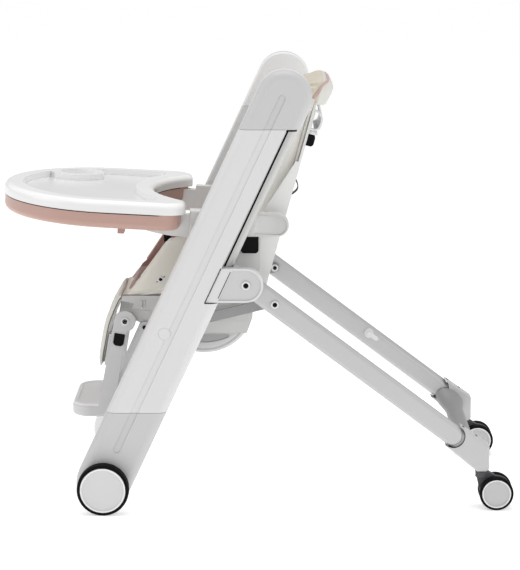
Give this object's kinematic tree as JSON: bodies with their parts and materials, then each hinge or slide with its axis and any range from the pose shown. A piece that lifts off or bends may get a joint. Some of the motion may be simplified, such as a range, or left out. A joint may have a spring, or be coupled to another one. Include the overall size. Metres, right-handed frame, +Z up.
{
  "type": "baby high chair",
  "caption": "Folding baby high chair on slanted side posts: padded reclining seat that slides up and down, tray with a cup well, footrest, front wheels and swivel casters.",
  "frame": {"origin": "on the floor, under the middle of the chair's length and width", "axes": "+X to the rear of the chair, +Y to the child's right, +Z up"},
  "size_m": [1.047, 0.58, 0.8927],
  "materials": {
    "post_white": "satin",
    "post_grey": "satin",
    "rail_metal": "satin anodised",
    "disc_white": "semi gloss",
    "tyre_black": "matte",
    "leg_metal": "satin silver paint",
    "leg_plastic": "satin",
    "brace_metal": "satin",
    "caster_grey": "matte",
    "arm_white": "semi gloss",
    "slider_black": "matte",
    "button_black": "matte",
    "steel": "zinc plated",
    "cross_grey": "satin",
    "seat_grey": "satin",
    "vinyl_cream": "soft vinyl",
    "strap_black": "woven webbing",
    "footrest_grey": "satin",
    "tray_pink": "satin dusty pink",
    "tray_white": "gloss"
  },
  "bodies": {
    "frame": {"left_post_cover": "post_white", "right_post_cover": "post_white", "left_post_rail": "rail_metal", "right_post_rail": "rail_metal", "left_post_cap": "post_grey", "right_post_cap": "post_grey", "left_post_foot": "post_grey", "right_post_foot": "post_grey", "left_leg_bracket": "post_white", "right_leg_bracket": "post_white", "leg_pivots": "steel", "post_plugs": "post_white", "front_axles": "steel", "front_cross_tube": "leg_metal"},
    "left_wheel": {"left_front_wheel": "disc_white", "left_front_tyre": "tyre_black"},
    "right_wheel": {"right_front_wheel": "disc_white", "right_front_tyre": "tyre_black"},
    "rear_legs": {"left_leg_tube": "leg_metal", "right_leg_tube": "leg_metal", "left_rear_foot": "leg_plastic", "right_rear_foot": "leg_plastic", "rear_cross_tube": "cross_grey", "tray_hooks": "arm_white", "brace_rivets": "steel"},
    "braces": {"left_fold_brace": "brace_metal", "right_fold_brace": "brace_metal"},
    "left_caster": {"left_caster_hood": "caster_grey"},
    "right_caster": {"right_caster_hood": "caster_grey"},
    "left_caster_pair": {"left_caster_discs": "disc_white", "left_caster_tyres": "tyre_black"},
    "right_caster_pair": {"right_caster_discs": "disc_white", "right_caster_tyres": "tyre_black"},
    "seat": {"left_seat_arm": "arm_white", "right_seat_arm": "arm_white", "left_rail_slider": "slider_black", "right_rail_slider": "slider_black", "seat_pan": "seat_grey", "seat_belly": "seat_grey", "seat_cushion": "vinyl_cream", "recline_pins": "steel", "footrest_pins": "steel", "crotch_strap": "strap_black", "harness_buckle": "button_black"},
    "left_trigger": {"left_height_trigger": "button_black"},
    "right_trigger": {"right_height_trigger": "button_black"},
    "backrest": {"back_shell": "arm_white", "back_cushion": "vinyl_cream", "strap_adjuster": "button_black", "rear_strap": "strap_black", "shoulder_straps": "strap_black"},
    "recline_grip": {"recline_handle": "arm_white"},
    "footrest": {"footrest_frame": "footrest_grey", "calf_panel": "footrest_grey", "calf_pad": "vinyl_cream"},
    "left_rest_button": {"left_footrest_button": "button_black"},
    "right_rest_button": {"right_footrest_button": "button_black"},
    "tray": {"tray_base": "tray_pink"},
    "tray_lid": {"tray_top": "tray_white"},
    "tray_release": {"tray_latches": "tray_pink"}
  },
  "joints": [
    {"name": "left_wheel_spin", "type": "hinge", "parent": "frame", "child": "left_wheel", "pos_m": [-0.3065, -0.277, 0.0525], "axis": [0, 1, 0], "continuous": true},
    {"name": "right_wheel_spin", "type": "hinge", "parent": "frame", "child": "right_wheel", "pos_m": [-0.3065, 0.277, 0.0525], "axis": [0, 1, 0], "continuous": true},
    {"name": "leg_fold", "type": "hinge", "parent": "frame", "child": "rear_legs", "pos_m": [-0.01868, 0, 0.46584], "axis": [0, 1, 0], "range_deg": [0, 72]},
    {"name": "brace_fold", "type": "hinge", "parent": "rear_legs", "child": "braces", "pos_m": [0.03896, 0, 0.42269], "axis": [0, 1, 0], "range_deg": [-86.9, 0]},
    {"name": "left_caster_swivel", "type": "hinge", "parent": "rear_legs", "child": "left_caster", "pos_m": [0.46, -0.219, 0.078], "axis": [0, 0, 1], "continuous": true},
    {"name": "right_caster_swivel", "type": "hinge", "parent": "rear_legs", "child": "right_caster", "pos_m": [0.46, 0.219, 0.078], "axis": [0, 0, 1], "continuous": true},
    {"name": "left_caster_spin", "type": "hinge", "parent": "left_caster", "child": "left_caster_pair", "pos_m": [0.489, -0.219, 0.0345], "axis": [0, 1, 0], "continuous": true},
    {"name": "right_caster_spin", "type": "hinge", "parent": "right_caster", "child": "right_caster_pair", "pos_m": [0.489, 0.219, 0.0345], "axis": [0, 1, 0], "continuous": true},
    {"name": "seat_height", "type": "slide", "parent": "frame", "child": "seat", "axis": [0.4242, 0, 0.9056], "range_m": [-0.1, 0.16]},
    {"name": "left_trigger_squeeze", "type": "slide", "parent": "seat", "child": "left_trigger", "axis": [0, 0, 1], "range_m": [0, 0.006], "stiffness_N_per_m": 400},
    {"name": "right_trigger_squeeze", "type": "slide", "parent": "seat", "child": "right_trigger", "axis": [0, 0, 1], "range_m": [0, 0.006], "stiffness_N_per_m": 400},
    {"name": "recline", "type": "hinge", "parent": "seat", "child": "backrest", "pos_m": [-0.03144, 0, 0.42508], "axis": [0, 1, 0], "range_deg": [0, 38]},
    {"name": "recline_squeeze", "type": "slide", "parent": "backrest", "child": "recline_grip", "axis": [0.2656, 0, 0.9641], "range_m": [0, 0.008], "stiffness_N_per_m": 400},
    {"name": "footrest_lift", "type": "hinge", "parent": "seat", "child": "footrest", "pos_m": [-0.26964, 0, 0.36458], "axis": [0, 1, 0], "range_deg": [0, 55]},
    {"name": "left_rest_press", "type": "slide", "parent": "footrest", "child": "left_rest_button", "axis": [0, 1, 0], "range_m": [0, 0.003], "stiffness_N_per_m": 300},
    {"name": "right_rest_press", "type": "slide", "parent": "footrest", "child": "right_rest_button", "axis": [0, -1, 0], "range_m": [0, 0.003], "stiffness_N_per_m": 300},
    {"name": "tray_slide", "type": "slide", "parent": "seat", "child": "tray", "axis": [0.9986, 0, -0.0523], "range_m": [-0.06, 0.006]},
    {"name": "tray_lift", "type": "slide", "parent": "tray", "child": "tray_lid", "axis": [0.0523, 0, 0.9986], "range_m": [0, 0.08]},
    {"name": "tray_release_pull", "type": "slide", "parent": "tray", "child": "tray_release", "axis": [-0.9986, 0, 0.0523], "range_m": [0, 0.006], "stiffness_N_per_m": 400}
  ],
  "couplings": [
    {"joint": "brace_fold", "follows": "leg_fold", "ratio": -1.2}
  ]
}
